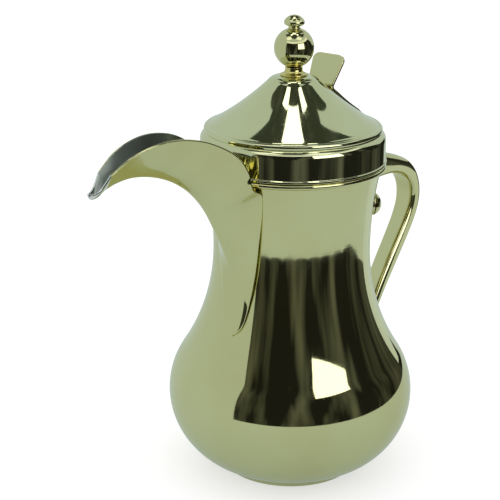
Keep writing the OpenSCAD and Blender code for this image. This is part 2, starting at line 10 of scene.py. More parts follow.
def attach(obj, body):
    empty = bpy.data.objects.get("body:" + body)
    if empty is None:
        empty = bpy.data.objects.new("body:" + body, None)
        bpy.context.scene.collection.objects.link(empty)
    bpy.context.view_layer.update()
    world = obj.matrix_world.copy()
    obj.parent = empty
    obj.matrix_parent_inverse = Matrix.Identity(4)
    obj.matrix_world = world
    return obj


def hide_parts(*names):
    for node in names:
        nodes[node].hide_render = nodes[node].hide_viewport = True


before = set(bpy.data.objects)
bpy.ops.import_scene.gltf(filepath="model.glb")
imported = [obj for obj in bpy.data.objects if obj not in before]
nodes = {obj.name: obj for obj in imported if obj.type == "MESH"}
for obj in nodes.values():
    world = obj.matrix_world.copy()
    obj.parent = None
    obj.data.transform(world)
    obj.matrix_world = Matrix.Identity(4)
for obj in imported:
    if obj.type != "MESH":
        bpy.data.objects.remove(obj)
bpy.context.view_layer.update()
scene = bpy.context.scene
MM = 0.001


# ---- curves, in millimetres -----------------------------------------------------------

def arc(c, r, a0, a1, n):
    """Points of an arc round c, from a0 to a1 degrees, in n steps."""
    return [(c[0] + r * cos(radians(a0 + (a1 - a0) * i / n)),
             c[1] + r * sin(radians(a0 + (a1 - a0) * i / n))) for i in range(n + 1)]


def spline_at(rows, u):
    """A point of the Catmull-Rom spline through rows, where u runs from 0 to len(rows) - 1."""
    n = len(rows) - 1
    i = min(int(u), n - 1)
    t = u - i
    b, c = rows[i], rows[i + 1]
    a = rows[i - 1] if i > 0 else [2 * p - q for p, q in zip(b, c)]
    d = rows[i + 2] if i < n - 1 else [2 * q - p for p, q in zip(b, c)]
    return [0.5 * (2 * q + (r - p) * t + (2 * p - 5 * q + 4 * r - s) * t * t
                   + (3 * q - p - 3 * r + s) * t ** 3) for p, q, r, s in zip(a, b, c, d)]


def sagged(a, b, sag, n):
    """An arc from a to b that hangs sag below its chord."""
    chord = hypot(b[0] - a[0], b[1] - a[1])
    r = (chord * chord / 4 + sag * sag) / (2 * sag)
    dx, dz = (b[0] - a[0]) / chord, (b[1] - a[1]) / chord
    c = ((a[0] + b[0]) / 2 + dz * (r - sag), (a[1] + b[1]) / 2 - dx * (r - sag))
    a0 = degrees(atan2(a[1] - c[1], a[0] - c[0]))
    a1 = degrees(atan2(b[1] - c[1], b[0] - c[0]))
    return arc(c, r, a0, a1, n)


def fillet(line, radius, closed=True, n=5, least=24):
    """The same line with its sharp corners rounded."""
    out = []
    count = len(line)
    for i, p in enumerate(line):
        if not closed and i in (0, count - 1):
            out.append(p)
            continue
        a, b = line[i - 1], line[(i + 1) % count]
        u, v = (a[0] - p[0], a[1] - p[1]), (b[0] - p[0], b[1] - p[1])
        lu, lv = hypot(*u), hypot(*v)
        if lu < 1e-6 or lv < 1e-6:
            continue
        turn = pi - acos(max(-1, min(1, (u[0] * v[0] + u[1] * v[1]) / (lu * lv))))
        if turn < radians(least) or p[0] < 1e-6:
            out.append(p)
            continue
        d = min(radius * tan(turn / 2), 0.45 * lu, 0.45 * lv)
        p1 = (p[0] + u[0] / lu * d, p[1] + u[1] / lu * d)
        p2 = (p[0] + v[0] / lv * d, p[1] + v[1] / lv * d)
        for k in range(n + 1):
            t = k / n
            out.append(tuple((1 - t) ** 2 * p1[j] + 2 * t * (1 - t) * p[j] + t * t * p2[j] for j in (0, 1)))
    return out


# ---- the body's outline, as in the CAD ------------------------------------------------

BELLY_R, BELLY_Z, BELLY_ARC = 75, 48.5, 48
WAIST_R, WAIST_Z, MOUTH_R = 47.2, 142, 52.5
WALL, SEAT_Z, MOUTH_Z = 1.2, 3, 191
BELLY_C = (BELLY_R - BELLY_ARC, BELLY_Z)
WAIST_DX, WAIST_DZ = WAIST_R - BELLY_C[0], WAIST_Z - BELLY_Z
WAIST_ARC = (WAIST_DX ** 2 + WAIST_DZ ** 2 - BELLY_ARC ** 2) / (2 * (BELLY_ARC - WAIST_DX))
WAIST_C = (WAIST_R + WAIST_ARC, WAIST_Z)
BLEND_A = degrees(atan2(WAIST_Z - BELLY_Z, WAIST_C[0] - BELLY_C[0]))
BLEND_Z = BELLY_Z + BELLY_ARC * sin(radians(BLEND_A))
FLARE_DZ, FLARE_DX = MOUTH_Z - WAIST_Z, MOUTH_R - WAIST_R
FLARE_ARC = (FLARE_DZ ** 2 + FLARE_DX ** 2) / (2 * FLARE_DX)
FLARE_C = (WAIST_R + FLARE_ARC, WAIST_Z)


def body_r(z):
    """The radius of the body's outside at a height."""
    if z < BLEND_Z:
        return BELLY_C[0] + sqrt(max(0, BELLY_ARC ** 2 - (z - BELLY_Z) ** 2))
    if z < WAIST_Z:
        return WAIST_C[0] - sqrt(WAIST_ARC ** 2 - (z - WAIST_Z) ** 2)
    return FLARE_C[0] - sqrt(FLARE_ARC ** 2 - (min(z, MOUTH_Z) - WAIST_Z) ** 2)


def body_line(d):
    """The body's outline, moved outwards by d."""
    low = degrees(asin((SEAT_Z - BELLY_Z) / (BELLY_ARC + d)))
    top = degrees(asin(FLARE_DZ / (FLARE_ARC - d)))
    return (arc(BELLY_C, BELLY_ARC + d, low, BLEND_A, 44)
            + arc(WAIST_C, WAIST_ARC - d, BLEND_A + 180, 180, 34)[1:]
            + arc(FLARE_C, FLARE_ARC - d, 180, 180 - top, 16)[1:])


# ---- mesh helpers ---------------------------------------------------------------------

def finish(name, bm, materials, body, stands_for=(), sharp=38):
    """Turns bm into a smooth piece that rides a body and takes the place of CAD nodes."""
    bmesh.ops.recalc_face_normals(bm, faces=bm.faces)
    mesh = bpy.data.meshes.new(name)
    for f in bm.faces:
        f.smooth = True
    bm.to_mesh(mesh)
    bm.free()
    mesh.set_sharp_from_angle(angle=radians(sharp))
    for m in materials:
        mesh.materials.append(m)
    obj = bpy.data.objects.new(name, mesh)
    scene.collection.objects.link(obj)
    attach(obj, body)
    if stands_for:
        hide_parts(*stands_for)
    return obj


def add_rings(bm, rings, closed=True, caps=(True, True), index=None):
    """Quads between rings of equal length; a ring of one point is a pole. index picks the material."""
    rows = [[bm.verts.new([c * MM for c in p]) for p in ring] for ring in rings]
    for j in range(len(rows) - 1):
        a, b = rows[j], rows[j + 1]
        n = max(len(a), len(b))
        for i in range(n if closed else n - 1):
            k = (i + 1) % n
            if len(a) == 1:
                quad = [a[0], b[k], b[i]]
            elif len(b) == 1:
                quad = [a[i], a[k], b[0]]
            else:
                quad = [a[i], a[k], b[k], b[i]]
            face = bm.faces.new(quad)
            if index:
                face.material_index = index(j, i)
    for row, cap in zip((rows[0], rows[-1]), caps):
        if cap and len(row) > 2:
            bm.faces.new(row)
    return rows


def add_lathe(bm, line, segments, matrix=None, index=None):
    """Turns a closed line of (radius, height) round the Z axis."""
    cols = []
    for r, z in line:
        if r < 1e-6:
            cols.append([Vector((0, 0, z))])
        else:
            cols.append([Vector((r * cos(2 * pi * i / segments), r * sin(2 * pi * i / segments), z))
                         for i in range(segments)])
    if matrix is not None:
        cols = [[matrix @ p for p in col] for col in cols]
    rows = [[bm.verts.new(p * MM) for p in col] for col in cols]
    count = len(rows)
    for j in range(count):
        a, b = rows[j], rows[(j + 1) % count]
        if len(a) == 1 and len(b) == 1:
            continue
        for i in range(segments):
            k = (i + 1) % segments
            if len(a) == 1:
                face = bm.faces.new([a[0], b[k], b[i]])
            elif len(b) == 1:
                face = bm.faces.new([a[i], a[k], b[0]])
            else:
                face = bm.faces.new([a[i], a[k], b[k], b[i]])
            if index:
                face.material_index = index(j)


def weighted(obj):
    """Keeps broad faces flat right up to their rounded edges."""
    mod = obj.modifiers.new("weighted", "WEIGHTED_NORMAL")
    mod.keep_sharp = True
    mod.weight = 60
    return obj


def lathe(name, line, materials, body, stands_for, segments=192, round_r=0.35):
    """A turned piece; its outline's sharp corners are rounded first."""
    bm = bmesh.new()
    add_lathe(bm, fillet(line, round_r) if round_r else line, segments)
    return weighted(finish(name, bm, materials, body, stands_for))


# ---- materials ------------------------------------------------------------------------

def polished(name, color, rough, spread=0.05, wave=3.0e-5, lines=2.0e-6, tint=0.06):
    """Polished metal: broad ripples from handwork, fine turning lines, and faint smudges."""
    m = bpy.data.materials.new(name)
    m.use_nodes = True
    t = m.node_tree
    n, link = t.nodes, t.links
    shader = n["Principled BSDF"]
    shader.inputs["Metallic"].default_value = 1.0
    place = n.new("ShaderNodeTexCoord")

    def noise(scale, detail, source=None, rough_=0.5):
        x = n.new("ShaderNodeTexNoise")
        x.inputs["Scale"].default_value = scale
        x.inputs["Detail"].default_value = detail
        x.inputs["Roughness"].default_value = rough_
        link.new(source or place.outputs["Object"], x.inputs["Vector"])
        return x.outputs["Fac"]

    def ramp(source, low, high, a, b):
        x = n.new("ShaderNodeMapRange")
        x.inputs["From Min"].default_value = low
        x.inputs["From Max"].default_value = high
        x.inputs["To Min"].default_value = a
        x.inputs["To Max"].default_value = b
        link.new(source, x.inputs["Value"])
        return x.outputs["Result"]

    mix = n.new("ShaderNodeMix")
    mix.data_type = "RGBA"
    mix.inputs["A"].default_value = (*color, 1)
    mix.inputs["B"].default_value = (color[0] * (1 - tint), color[1] * (1 - 1.5 * tint),
                                     color[2] * (1 - 2.6 * tint), 1)
    link.new(ramp(noise(16, 3), 0.35, 0.7, 0, 1), mix.inputs["Factor"])
    link.new(mix.outputs["Result"], shader.inputs["Base Color"])

    smudge = noise(60, 5, rough_=0.65)
    link.new(ramp(smudge, 0.42, 0.75, rough, rough + spread), shader.inputs["Roughness"])

    split = n.new("ShaderNodeSeparateXYZ")
    link.new(place.outputs["Object"], split.inputs["Vector"])
    join = n.new("ShaderNodeCombineXYZ")
    squeeze = n.new("ShaderNodeMath")
    squeeze.operation = "MULTIPLY"
    squeeze.inputs[1].default_value = 45
    link.new(split.outputs["Z"], squeeze.inputs[0])
    link.new(split.outputs["X"], join.inputs["X"])
    link.new(split.outputs["Y"], join.inputs["Y"])
    link.new(squeeze.outputs["Value"], join.inputs["Z"])
    bump = n.new("ShaderNodeBump")
    bump.inputs["Distance"].default_value = wave
    bump.inputs["Strength"].default_value = 1.0
    link.new(noise(26, 1.5), bump.inputs["Height"])
    fine = n.new("ShaderNodeBump")
    fine.inputs["Distance"].default_value = lines
    fine.inputs["Strength"].default_value = 1.0
    link.new(noise(26, 2, join.outputs["Vector"]), fine.inputs["Height"])
    link.new(bump.outputs["Normal"], fine.inputs["Normal"])
    link.new(fine.outputs["Normal"], shader.inputs["Normal"])
    return m


GOLD_COLOR = (0.72, 0.69, 0.385)
gold = polished("gold_polished", GOLD_COLOR, 0.035)
gold_cast = polished("gold_cast", GOLD_COLOR, 0.06, wave=5.0e-5)
gold_pale = polished("gold_pale", (0.75, 0.745, 0.47), 0.035)
# A deeper yellow gold: painted reflection, standing in for the ball's gold mirrored in the hollow collar
# under it.
gold_painted_reflection = polished("gold_painted_reflection", (0.76, 0.67, 0.27), 0.035)
steel = polished("steel_plain", (0.56, 0.57, 0.56), 0.16, spread=0.12, tint=0.03)
silver = polished("silver_bright", (0.86, 0.85, 0.84), 0.08, tint=0.03)
beak_inside = polished("beak_inside", (0.33, 0.36, 0.33), 0.28, spread=0.05, wave=1.0e-5, tint=0.05)
inside = polished("pot_inside", (0.58, 0.57, 0.50), 0.22, spread=0.12, tint=0.05)

# ---- pot: body, base, rim -------------------------------------------------------------

outer, inner = body_line(0), body_line(-WALL)
bm = bmesh.new()
line = outer + inner[::-1]
add_lathe(bm, line, 256, index=lambda j: 1 if j >= len(outer) else 0)
body = finish("pot_shell", bm, [gold, inside], "pot", ["body_shell"])

STRAINER_D, STRAINER_PITCH, STRAINER_Z = 4.5, 8, 150
bm = bmesh.new()
for row in range(4):
    holes = 3 + row % 2
    for i in range(holes):
        across = (i - (holes - 1) / 2) * STRAINER_PITCH
        spot = Vector((-WAIST_R - 8, across, STRAINER_Z + row * STRAINER_PITCH))
        turn = Matrix.Translation(spot) @ Matrix.Rotation(pi / 2, 4, "Y")
        add_lathe(bm, [(0, 0), (STRAINER_D / 2, 0), (STRAINER_D / 2, 16), (0, 16)], 40, turn)
bmesh.ops.recalc_face_normals(bm, faces=bm.faces)
cut_mesh = bpy.data.meshes.new("strainer_cut")
bm.to_mesh(cut_mesh)
bm.free()
cutter = bpy.data.objects.new("strainer_cut", cut_mesh)
scene.collection.objects.link(cutter)


def carve(obj, tool):
    """Cuts tool out of obj for good, and removes tool."""
    mod = obj.modifiers.new("cut", "BOOLEAN")
    mod.operation = "DIFFERENCE"
    mod.solver = "EXACT"
    mod.object = tool
    mesh = bpy.data.meshes.new_from_object(obj.evaluated_get(bpy.context.evaluated_depsgraph_get()))
    obj.modifiers.clear()
    old = obj.data
    obj.data = mesh
    bpy.data.meshes.remove(old)
    bpy.data.objects.remove(tool)
    obj.data.set_sharp_from_angle(angle=radians(38))


carve(body, cutter)

FOOT_R, GROOVE_R, GROOVE_W = 42.8, 34.5, 3
lathe("pot_base", [(0, 0), (GROOVE_R - GROOVE_W / 2, 0), (GROOVE_R - GROOVE_W / 4, 0.7),
                   (GROOVE_R + GROOVE_W / 4, 0.7), (GROOVE_R + GROOVE_W / 2, 0)]
      + arc((FOOT_R - 1.2, 1.2), 1.2, -90, 0, 8) + [(FOOT_R, SEAT_Z), (0, SEAT_Z)],
      [gold], "pot", ["base_plate"])

RIM_R, RIM_BEAD, RIM_TOP = 55.2, 1.65, 193.3
lathe("pot_rim",
      [(MOUTH_R - WALL, MOUTH_Z), (MOUTH_R, MOUTH_Z), (MOUTH_R + 0.02, RIM_TOP - 2 * RIM_BEAD + 0.6)]
      + arc((RIM_R - RIM_BEAD, RIM_TOP - RIM_BEAD), RIM_BEAD, -125, 90, 22) + [(MOUTH_R - WALL, RIM_TOP)],
      [gold], "pot", ["rim_ring"], round_r=0.3)

# ---- spout ----------------------------------------------------------------------------

SPOUT = [
    [56.4, 98.5, 0, 98.8, 2.5],
    [54.9, 104.0, 0, 105.0, 8.5],
    [52.3, 120.0, 0, 123.0, 11.8],
    [53.6, 137.0, 0, 143.0, 14.6],
    [60.0, 152.0, 0, 165.0, 17.0],
    [68.0, 166.5, 0, 184.5, 19.0],
    [74.5, 177.5, 55.6, 190.5, 19.4],
    [82.0, 186.5, 58.6, 200.5, 19.0],
    [90.5, 194.0, 65.5, 210.5, 17.8],
    [100.0, 200.2, 76.5, 218.0, 15.8],
    [110.5, 204.8, 90.0, 223.8, 13.6],
    [121.5, 207.8, 106.0, 227.0, 11.8],
    [132.0, 209.0, 121.0, 226.6, 10.0],
    [142.0, 208.2, 136.0, 222.7, 8.0],
    [149.0, 206.4, 149.0, 215.3, 5.7]]
SPOUT_T, FOLD_ROUND, FOLD_N, ON_BODY = 1.4, 0.22, 20, 5
APRON_END, BEAK_START, EDGE_OPEN = 2, 5, 0.03
EDGE_ROWS = [[sqrt(body_r(r[3]) ** 2 - r[4] ** 2)] if r[2] == 0 else [r[2]] for r in SPOUT]


def keeled(v):
    """The height of the keeled beak's section at v half widths from its middle."""
    return (sqrt(v * v + FOLD_ROUND ** 2) - FOLD_ROUND) / (sqrt(1 + FOLD_ROUND ** 2) - FOLD_ROUND)


def flat(v):
    """The same for the low apron, which turns down only near its edges."""
    return (1 - (1 - (1 - EDGE_OPEN) * v ** 4) ** 0.25) / (1 - EDGE_OPEN ** 0.25)


def outside(p, margin=0.04):
    """Pushes a point that lies inside the body out to its surface."""
    r = hypot(p[0], p[1])
    low = (body_r(p[2]) if p[2] < MOUTH_Z else MOUTH_R) + margin
    return (p[0] * low / r, p[1] * low / r, p[2]) if r < low else p


def sheet_ring(keel, edge, w, shape, thick, fill=0.0):
    """A closed ring across a bent sheet: outer face, round lip, inner face, round lip.

    keel and edge are (x, z) places in the side view, shape gives the section's height from 0
    at the keel to 1 at the edges, and fill raises the inner face towards the edges."""
    depth = hypot(edge[0] - keel[0], edge[1] - keel[1])
    up = ((edge[0] - keel[0]) / depth, (edge[1] - keel[1]) / depth)
    thick = min(thick, 0.45 * w)
    trim = 1 - 0.55 * thick / max(w, depth)
    brim = depth * shape(trim) + thick / 2

    def at(v, inward, along=0.0):
        step = 0.001
        slope = depth * (shape(v + step) - shape(v - step)) / (2 * step)
        n = hypot(w, slope)
        side = 1 if v > 0 else -1
        y = w * v - inward * slope / n + side * along * w / n
        h = depth * shape(v) + inward * w / n + along * abs(slope) / n
        return y, h

    def place(y, h):
        return (keel[0] + up[0] * h, y, keel[1] + up[1] * h)

    vs = [trim * sin(pi / 2 * i / FOLD_N) for i in range(-FOLD_N, FOLD_N + 1)]
    first = [at(v, 0) for v in vs]
    second = []
    for v in vs[::-1]:
        y, h = at(v, thick)
        second.append((y, h + max(0, brim - h) * fill))
    lips = [[at(v, thick / 2 * (1 - cos(pi * k / 6)), thick / 2 * sin(pi * k / 6) * 0.9) for k in range(1, 6)]
            for v in (vs[-1], vs[0])]
    return [place(*q) for q in first + lips[0] + second + lips[1][::-1]]


def spout_ring(u):
    reach, keel_z, _, edge_z, w = spline_at(SPOUT, u)
    if u <= ON_BODY:
        edge_reach = sqrt(max(0, body_r(min(edge_z, MOUTH_Z)) ** 2 - w * w))
    else:
        edge_reach = spline_at(EDGE_ROWS, u)[0]
    t = max(0, min(1, (u - APRON_END) / (BEAK_START - APRON_END)))
    share = t * t * (3 - 2 * t)
    ring = sheet_ring((-reach, keel_z), (-edge_reach, edge_z), w,
                      lambda v: share * keeled(v) + (1 - share) * flat(v), SPOUT_T)
    return [outside(p) for p in ring]


STATIONS, GOLD_INSIDE = 10, 8.6
last = (len(SPOUT) - 1) * STATIONS
rings = [spout_ring(i / STATIONS) for i in range(last + 1)]
count = 2 * FOLD_N + 1
total = len(rings[0])


def inner_face(i):
    return count + 4 <= i < 2 * count + 5


def close_sheet(bm, row):
    """The sheet's own end, closed across its thickness."""
    for i in range(count - 1):
        bm.faces.new([row[i], row[i + 1], row[2 * count + 5 - i - 2], row[2 * count + 5 - i - 1]])
    bm.faces.new([row[k] for k in range(count - 1, count + 6)])
    bm.faces.new([row[k % total] for k in range(2 * count + 4, total + 1)])


bm = bmesh.new()
rows = add_rings(bm, rings, caps=(False, False),
                 index=lambda j, i: 1 if inner_face(i) and j / STATIONS > GOLD_INSIDE else 0)
for row in (rows[0], rows[-1]):
    close_sheet(bm, row)
weighted(finish("spout_beak", bm, [gold, beak_inside], "pot", ["spout"]))

TIP_REACH, TIP_DROP, TIP_LIFT, TIP_FALL, TIP_LEVEL = 160.6, 5.4, 5.4, 10.9, 3.2
TIP_NARROW, TIP_EASE, TIP_STEPS, TIP_GAP = 0.66, 0.22, 26, 0.02
PIT_END, PIT_FILL, SILVER_FROM = 0.6, 0.3, 0.72


def tip_ring(s):
    """A ring of the nose: the beak's last section carried on, narrowed and rounded off."""
    reach, keel_z, _, edge_z, w = SPOUT[-1]
    x = -(reach + TIP_GAP + (TIP_REACH - reach - TIP_GAP) * s)
    rnd = sqrt(max(0.01, 1 - s ** 4))
    share = max(0, 1 - 2 * s)
    t = max(0, min(1, (s - PIT_END) / PIT_FILL))
    half_w = w * (1 - TIP_NARROW * s + TIP_EASE * s * s) * rnd
    return sheet_ring((x, keel_z - TIP_DROP * s + (1 - rnd) * TIP_LIFT),
                      (x, edge_z - TIP_FALL * s + TIP_LEVEL * s * s), half_w,
                      lambda v: share * keeled(v) + (1 - share) * (1 - sqrt(1 - 0.97 * v * v)), SPOUT_T,
                      t * t * (3 - 2 * t))


bm = bmesh.new()
places = [sin(pi / 2 * i / TIP_STEPS) for i in range(TIP_STEPS + 1)]
rows = add_rings(bm, [tip_ring(s) for s in places], caps=(False, True),
                 index=lambda j, i: 1 if inner_face(i) and places[j] < SILVER_FROM else 0)
close_sheet(bm, rows[0])
weighted(finish("spout_nose", bm, [silver, beak_inside], "pot", ["spout_tip"], sharp=60))

# ---- handle ---------------------------------------------------------------------------


def strap_ring(p, out, thick, width, corner, k=7):
    """A rounded rectangle across a strap, in the frame of its side-view normal and Y."""
    a, b = thick / 2 - corner, width / 2 - corner
    ring = []
    for quarter, (sx, sy) in enumerate(((1, 1), (-1, 1), (-1, -1), (1, -1))):
        for i in range(k + 1):
            t = radians(90 * (quarter + i / k))
            h, y = sx * a + corner * cos(t), sy * b + corner * sin(t)
            ring.append((p[0] + out[0] * h, y, p[1] + out[1] * h))
    return ring


HANDLE = [
    [49.0, 177.6, 20.5], [62.0, 176.9, 19.4], [74.0, 176.2, 17.4], [86.0, 175.0, 14.8],
    [98.0, 172.7, 12.2], [108.5, 168.5, 10.2], [115.6, 161.5, 9.0], [119.2, 152.0, 8.7],
    [118.6, 142.0, 8.7], [114.2, 132.0, 9.0], [107.0, 121.0, 9.2], [97.0, 107.0, 9.0],
    [86.5, 92.0, 7.8], [78.0, 78.0, 6.6], [73.5, 66.0, 6.2]]
HANDLE_W, HANDLE_LOW_W, ROOT_TOP = 17.0, 13.5, 186.0
HANDLE_CORNER, HANDLE_ROUND = 2.9, 0.47
ROOT_END, BEND_LEN, TAPER_START = 1.5, 2.5, 6    # in rows of HANDLE
HANDLE_STEPS = 10                                # rings between two rows


def handle_ring(u):
    p = spline_at(HANDLE, u)
    a = spline_at(HANDLE, max(u - 0.02, 0))
    b = spline_at(HANDLE, min(u + 0.02, len(HANDLE) - 1))
    length = hypot(b[0] - a[0], b[1] - a[1])
    out = (-(b[1] - a[1]) / length, (b[0] - a[0]) / length)
    taper = max(0, (u - TAPER_START) / (len(HANDLE) - 1 - TAPER_START))
    width = HANDLE_W + (HANDLE_LOW_W - HANDLE_W) * taper
    bend = max(0, min(1, (u - ROOT_END) / BEND_LEN))
    corner = HANDLE_CORNER + (HANDLE_ROUND * p[2] - HANDLE_CORNER) * bend
    ring = strap_ring(p, out, p[2], width, corner, 10)
    return [outside((q[0], q[1], min(q[2], ROOT_TOP)), -0.5) for q in ring]


bm = bmesh.new()
steps = (len(HANDLE) - 1) * HANDLE_STEPS
add_rings(bm, [handle_ring(i / HANDLE_STEPS) for i in range(steps + 1)])
weighted(finish("handle_strap", bm, [gold_cast], "pot", ["handle"], sharp=50))

# ---- plates and rivets on the body ----------------------------------------------------

SADDLE_T, SADDLE_Z, SADDLE_H, RIVET_ANGLE = 1.6, 165, 13.5, 41
FOOT_T, FOOT_Z, FOOT_W, FOOT_H = 3, 55, 17, 42
FOOT_RIVETS = (40, 52)


def pill(name, half, radius, thick, to_body, stands_for, round_r=0.7, straight=30, cap=14):
    """A round-ended strip, laid on the body by to_body(along, across, height)."""
    def outline(inset):
        r = max(radius - inset, 0)
        turns = [radians(180 * i / cap) for i in range(cap + 1)]
        pts = [(half + r * sin(a), r * cos(a)) for a in turns]
        pts += [(half - 2 * half * i / straight, -r) for i in range(1, straight)]
        pts += [(-half - r * sin(a), -r * cos(a)) for a in turns]
        pts += [(-half + 2 * half * i / straight, r) for i in range(1, straight)]
        return pts
    levels = [(radius * 0.98, -0.2), (radius * 0.5, -0.2), (0, -0.2), (0, thick - round_r)]
    levels += [(round_r * (1 - cos(radians(a))), thick - round_r + round_r * sin(radians(a)))
               for a in (22, 45, 68, 90)]
    levels += [(radius * f, thick + 0.12 * (f - 0.1)) for f in (0.3, 0.55, 0.8, 0.98)]
    bm = bmesh.new()
    add_rings(bm, [[to_body(a, b, h) for a, b in outline(inset)] for inset, h in levels])
    return weighted(finish(name, bm, [gold_cast], "pot", stands_for))


def on_neck(along, across, height):
    z = SADDLE_Z + across
    r, t = body_r(z) + height, along / body_r(SADDLE_Z)
    return (r * cos(t), r * sin(t), z)


def on_belly(along, across, height):
    z = FOOT_Z + along
    r = body_r(z) + height
    return (sqrt(r * r - across * across), across, z)


pill("neck_strap", radians(RIVET_ANGLE) * body_r(SADDLE_Z), SADDLE_H / 2, SADDLE_T, on_neck, ["neck_saddle"],
     round_r=0.5, straight=60)
pill("handle_plate", (FOOT_H - FOOT_W) / 2, FOOT_W / 2, FOOT_T, on_belly, ["handle_foot"], 0.9)

RIVET_D, WASHER_T, SEAT_GAP = 5, 1.2, 0.15
RIVET_BACK = -WALL - WASHER_T - 0.4


def rivet_line(seat, head_d, head_h, back, shank_d=RIVET_D, inner_d=7.2, inner_t=1.4):
    """A rivet's outline: inner head, shank, and a dome that sits at seat."""
    dome_r = (head_d * head_d / 4 + head_h * head_h) / (2 * head_h)
    edge = degrees(asin(head_d / 2 / dome_r))
    return ([(0, back - inner_t), (inner_d / 2 - 0.4, back - inner_t), (inner_d / 2, back - 0.5),
             (inner_d / 2, back), (shank_d / 2, back), (shank_d / 2, seat - 0.1),
             (head_d / 2 - 0.2, seat - 0.05), (head_d / 2, seat + 0.15)]
            + arc((0, seat + head_h - dome_r), dome_r, 90 - edge * 0.985, 90, 14)[:-1] + [(0, seat + head_h)])


def rivets(name, places, line, stands_for, body="pot", segments=96, material=gold):
    """One piece with the same turned outline at each place."""
    bm = bmesh.new()
    for place in places:
        add_lathe(bm, line, segments, place)
    return finish(name, bm, [material], body, stands_for)


def on_body_place(z, tilt):
    """A frame with its zero on the body's outside and +Z square to it."""
    return Matrix.Translation((body_r(z), 0, z)) @ Matrix.Rotation(pi / 2 + tilt, 4, "Y")


neck_frame = on_body_place(SADDLE_Z, asin((SADDLE_Z - WAIST_Z) / FLARE_ARC))
rivets("neck_domes", [Matrix.Rotation(radians(s * RIVET_ANGLE), 4, "Z") @ neck_frame for s in (-1, 1)],
       rivet_line(SADDLE_T + SEAT_GAP, 13.5, 4.2, RIVET_BACK), ["neck_rivets"])
rivets("foot_domes", [on_body_place(z, -asin((z - BELLY_Z) / BELLY_ARC)) for z in FOOT_RIVETS],
       rivet_line(FOOT_T + SEAT_GAP, 8.5, 2.2, RIVET_BACK), ["foot_rivets"])

# ---- hinge ----------------------------------------------------------------------------

HINGE_X, HINGE_Z, KNUCKLE_R, LEVER_W = 62, 194, 4, 13
EAR_GAP, EAR_T, EAR_FOOT, PIN_D, PIN_PLAY = 0.3, 3.4, 187.0, 3.2, 0.05


def bevelled(obj, width, segments=3):
    mod = obj.modifiers.new("bevel", "BEVEL")
    mod.width = width * MM
    mod.segments = segments
    mod.limit_method = "ANGLE"
    mod.angle_limit = radians(38)
    mod.harden_normals = True
    return obj


bm = bmesh.new()
outer_w = LEVER_W + 2 * (EAR_GAP + EAR_T)
for s in (-1, 1):
    mid = s * (LEVER_W / 2 + EAR_GAP + EAR_T / 2)
    side = (arc((HINGE_X, HINGE_Z), KNUCKLE_R, 0, 180, 18)
            + [(HINGE_X - KNUCKLE_R, EAR_FOOT), (HINGE_X + KNUCKLE_R, EAR_FOOT)])
    add_rings(bm, [[(x, mid + e * EAR_T / 2, z) for x, z in side] for e in (-1, 1)])
pad = [(55.6, 186.02), (65.8, 186.02), (65.8, 188.2), (55.6, 188.2)]
add_rings(bm, [[(x, y, z) for x, z in pad] for y in (-outer_w / 2, outer_w / 2)])
bevelled(finish("hinge_ears", bm, [gold_cast], "pot", ["hinge_bracket"]), 0.45)

PIN_HEAD = 5.6
half_pin = outer_w / 2
pin_line = [(0, -half_pin - 1.4), (1.4, -half_pin - 1.3), (2.4, -half_pin - 0.8),
            (PIN_HEAD / 2, -half_pin - 0.3), (PIN_HEAD / 2, -half_pin), (PIN_D / 2, -half_pin)]
pin_line += [(r, -z) for r, z in pin_line[::-1]]
rivets("hinge_rod", [Matrix.Translation((HINGE_X, 0, HINGE_Z)) @ Matrix.Rotation(pi / 2, 4, "X")],
       pin_line, ["hinge_pin"], segments=48, material=steel)

# ---- lid ------------------------------------------------------------------------------

LID_Z, LIP_R, LIP_H, SKIRT_R, LID_T = 193.6, 55.4, 1.9, 54.7, 1.2
SHOULDER_C, SHOULDER_R = (49.7, 207.4), 5
BEAD_C, BEAD_R = (50.7, 213.7), 1.8
CONE, CROWN, CONE_SAG = (49.3, 216), (15.5, 241.2), 1.3
FLAT_R, LID_TOP, CROWN_BULGE = 8.6, 244.4, 1.0
STUD_R = 2.02


def crown_point(t):
    """A point of the bulged crown, from its edge (0) to the flat top (1)."""
    dx, dz = FLAT_R - CROWN[0], LID_TOP - CROWN[1]
    n = hypot(dx, dz)
    b = 4 * CROWN_BULGE * t * (1 - t)
    return (CROWN[0] + dx * t + dz / n * b, CROWN[1] + dz * t - dx / n * b)


lid_outer = ([(LIP_R - 0.4, LID_Z), (LIP_R, LID_Z + 0.4), (LIP_R, LID_Z + LIP_H - 0.5),
              (SKIRT_R, LID_Z + LIP_H)]
             + arc(SHOULDER_C, SHOULDER_R, 0, 58, 12) + [(BEAD_C[0] + 1.25, BEAD_C[1] - 1.75)]
             + arc(BEAD_C, BEAD_R, -20, 100, 14) + [(CONE[0] + 0.6, CONE[1] - 0.5)]
             + sagged(CONE, CROWN, CONE_SAG, 44) + [crown_point(i / 12) for i in range(1, 13)])
lid_inner = ([(STUD_R, LID_TOP), (STUD_R, LID_TOP - LID_T)]
             + [(crown_point(t / 8)[0] - 0.6, crown_point(t / 8)[1] - LID_T) for t in (8, 6, 4, 2)]
             + sagged((CONE[0] - 0.75, CONE[1] - 0.95), (CROWN[0] - 0.6, CROWN[1] - 1.0), CONE_SAG, 24)[::-1]
             + arc((SKIRT_R - LID_T - 4, SHOULDER_C[1]), 4, 50, 0, 8) + [(SKIRT_R - LID_T, LID_Z)])
lathe("lid_cover", lid_outer + lid_inner, [gold_pale, inside], "lid", ["lid_shell"],
      segments=256, round_r=0.3)

LINER_R, LINER_T, FLANGE_Z = 50.2, 1, 196.6
lathe("lid_ring", [(LINER_R - LINER_T, 187.4), (LINER_R - 0.3, 186.8), (LINER_R, 187.4),
                   (LINER_R, FLANGE_Z - LINER_T), (SKIRT_R - LID_T, FLANGE_Z - LINER_T),
                   (SKIRT_R - LID_T, FLANGE_Z), (LINER_R - LINER_T, FLANGE_Z)],
      [steel], "lid", ["lid_liner"], round_r=0.2)

